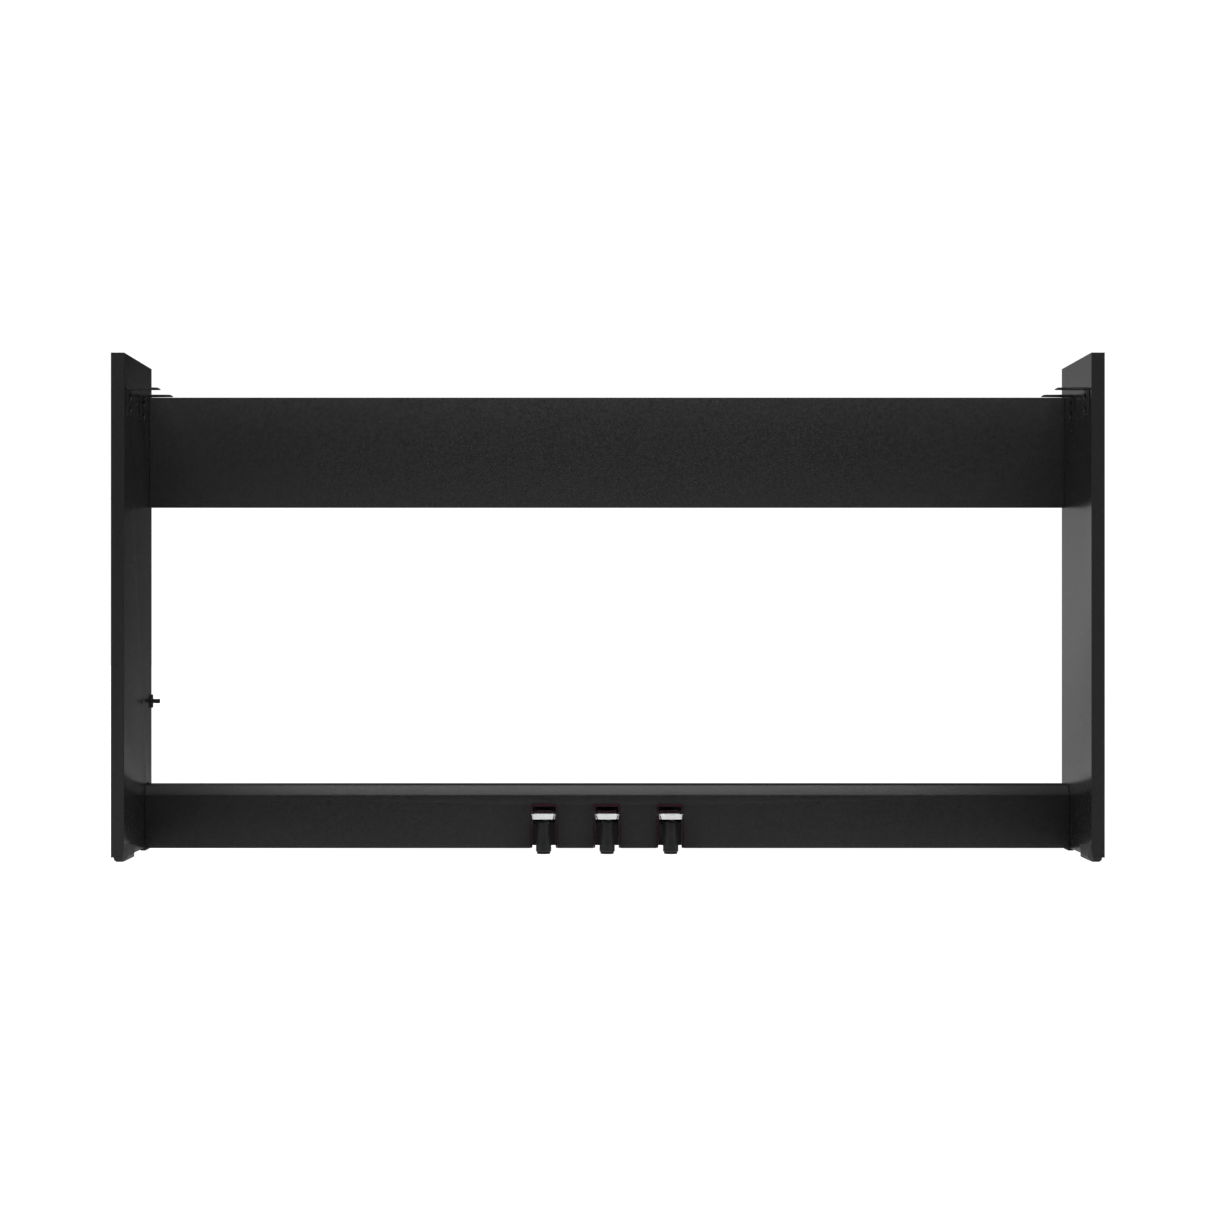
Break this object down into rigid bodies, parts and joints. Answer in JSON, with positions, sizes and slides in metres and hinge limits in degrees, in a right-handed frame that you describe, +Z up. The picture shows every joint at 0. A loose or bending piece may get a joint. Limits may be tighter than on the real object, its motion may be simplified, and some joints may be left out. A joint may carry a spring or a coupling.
{
  "type": "stand with pedal unit for a slab digital piano",
  "caption": "Black board stand for a slab digital piano: side panels, rear board, steel angle brackets and a low box with sprung pedals on adjustable support legs.",
  "frame": {"origin": "on the floor, under the middle of the stand's outer box", "axes": "+X across the stand, -Y the player's side, +Z up"},
  "size_m": [1.342, 0.3, 0.688],
  "materials": {
    "black_laminate": "black textured laminate, satin",
    "zinc_steel": "zinc plated",
    "red_felt": "felt",
    "black_steel": "black powder coat, fine",
    "bright_steel": "ground",
    "grey_felt": "felt",
    "chrome": "polished",
    "black_plastic": "fine moulded texture",
    "foot_plastic": "moulded",
    "rubber": "matt",
    "circuit_board": "solder mask",
    "black_screw": "black oxide"
  },
  "bodies": {
    "root": {"side_panel_left": "black_laminate", "side_panel_right": "black_laminate", "back_board": "black_laminate", "box_front_board": "black_laminate", "box_top_board": "black_laminate", "box_rear_board": "black_laminate", "box_end_bracket_left": "zinc_steel", "box_end_bracket_right": "zinc_steel", "slot_felt_left": "red_felt", "slot_felt_middle": "red_felt", "slot_felt_right": "red_felt", "pedal_chassis": "black_steel", "pedal_shaft": "bright_steel", "upper_stop_felt": "grey_felt", "lower_stop_felt": "grey_felt", "return_spring_left": "bright_steel", "return_spring_middle": "bright_steel", "return_spring_right": "bright_steel", "leg_post_left": "black_plastic", "leg_post_middle": "black_plastic", "leg_post_right": "black_plastic", "switch_board": "circuit_board", "pedal_socket": "black_plastic", "bracket_front_left": "black_steel", "bracket_screw_front_left_lower": "black_screw", "bracket_screw_front_left_upper": "black_screw", "bracket_rear_left": "black_steel", "bracket_screw_rear_left_lower": "black_screw", "bracket_screw_rear_left_upper": "black_screw", "bracket_front_right": "black_steel", "bracket_screw_front_right_lower": "black_screw", "bracket_screw_front_right_upper": "black_screw", "bracket_rear_right": "black_steel", "bracket_screw_rear_right_lower": "black_screw", "bracket_screw_rear_right_upper": "black_screw", "bolt_board_left_lower": "black_screw", "bolt_board_left_upper": "black_screw", "bolt_box_left_lower": "black_screw", "bolt_box_left_upper": "black_screw", "bolt_board_right_lower": "black_screw", "bolt_board_right_upper": "black_screw", "bolt_box_right_lower": "black_screw", "bolt_box_right_upper": "black_screw", "foot_front_left": "foot_plastic", "foot_front_right": "foot_plastic", "foot_rear_left": "foot_plastic", "foot_rear_right": "foot_plastic", "cable_clip": "black_plastic"},
    "pedal_left": {"pedal_left": "chrome"},
    "sole_left": {"leg_sole_left": "rubber"},
    "adjuster_left": {"leg_cup_left": "black_plastic", "leg_stud_left": "zinc_steel"},
    "pedal_middle": {"pedal_middle": "chrome"},
    "sole_middle": {"leg_sole_middle": "rubber"},
    "adjuster_middle": {"leg_cup_middle": "black_plastic", "leg_stud_middle": "zinc_steel"},
    "pedal_right": {"pedal_right": "chrome"},
    "sole_right": {"leg_sole_right": "rubber"},
    "adjuster_right": {"leg_cup_right": "black_plastic", "leg_stud_right": "zinc_steel"}
  },
  "joints": [
    {"name": "pedal_left_press", "type": "hinge", "parent": "root", "child": "pedal_left", "pos_m": [-0.089, 0.122, 0.0525], "axis": [1, 0, 0], "range_deg": [0, 5.5], "stiffness_Nm_per_rad": 15, "springref_deg": -4.58, "deforming": ["return_spring_left"]},
    {"name": "pedal_middle_press", "type": "hinge", "parent": "root", "child": "pedal_middle", "pos_m": [0, 0.122, 0.0525], "axis": [1, 0, 0], "range_deg": [0, 5.5], "stiffness_Nm_per_rad": 15, "springref_deg": -4.58, "deforming": ["return_spring_middle"]},
    {"name": "pedal_right_press", "type": "hinge", "parent": "root", "child": "pedal_right", "pos_m": [0.089, 0.122, 0.0525], "axis": [1, 0, 0], "range_deg": [0, 5.5], "stiffness_Nm_per_rad": 15, "springref_deg": -4.58, "deforming": ["return_spring_right"]},
    {"name": "leg_left_height", "type": "slide", "parent": "root", "child": "sole_left", "axis": [0, 0, 1], "range_m": [0, 0.00502]},
    {"name": "leg_left_turn", "type": "hinge", "parent": "sole_left", "child": "adjuster_left", "pos_m": [-0.089, 0.03, 0.01], "axis": [0, 0, 1], "range_deg": [0, 1440]},
    {"name": "leg_middle_height", "type": "slide", "parent": "root", "child": "sole_middle", "axis": [0, 0, 1], "range_m": [0, 0.00502]},
    {"name": "leg_middle_turn", "type": "hinge", "parent": "sole_middle", "child": "adjuster_middle", "pos_m": [0, 0.03, 0.01], "axis": [0, 0, 1], "range_deg": [0, 1440]},
    {"name": "leg_right_height", "type": "slide", "parent": "root", "child": "sole_right", "axis": [0, 0, 1], "range_m": [0, 0.00502]},
    {"name": "leg_right_turn", "type": "hinge", "parent": "sole_right", "child": "adjuster_right", "pos_m": [0.089, 0.03, 0.01], "axis": [0, 0, 1], "range_deg": [0, 1440]}
  ],
  "couplings": [
    {"joint": "leg_left_height", "follows": "leg_left_turn", "m_per_rad": 0.00019894},
    {"joint": "leg_middle_height", "follows": "leg_middle_turn", "m_per_rad": 0.00019894},
    {"joint": "leg_right_height", "follows": "leg_right_turn", "m_per_rad": 0.00019894}
  ]
}
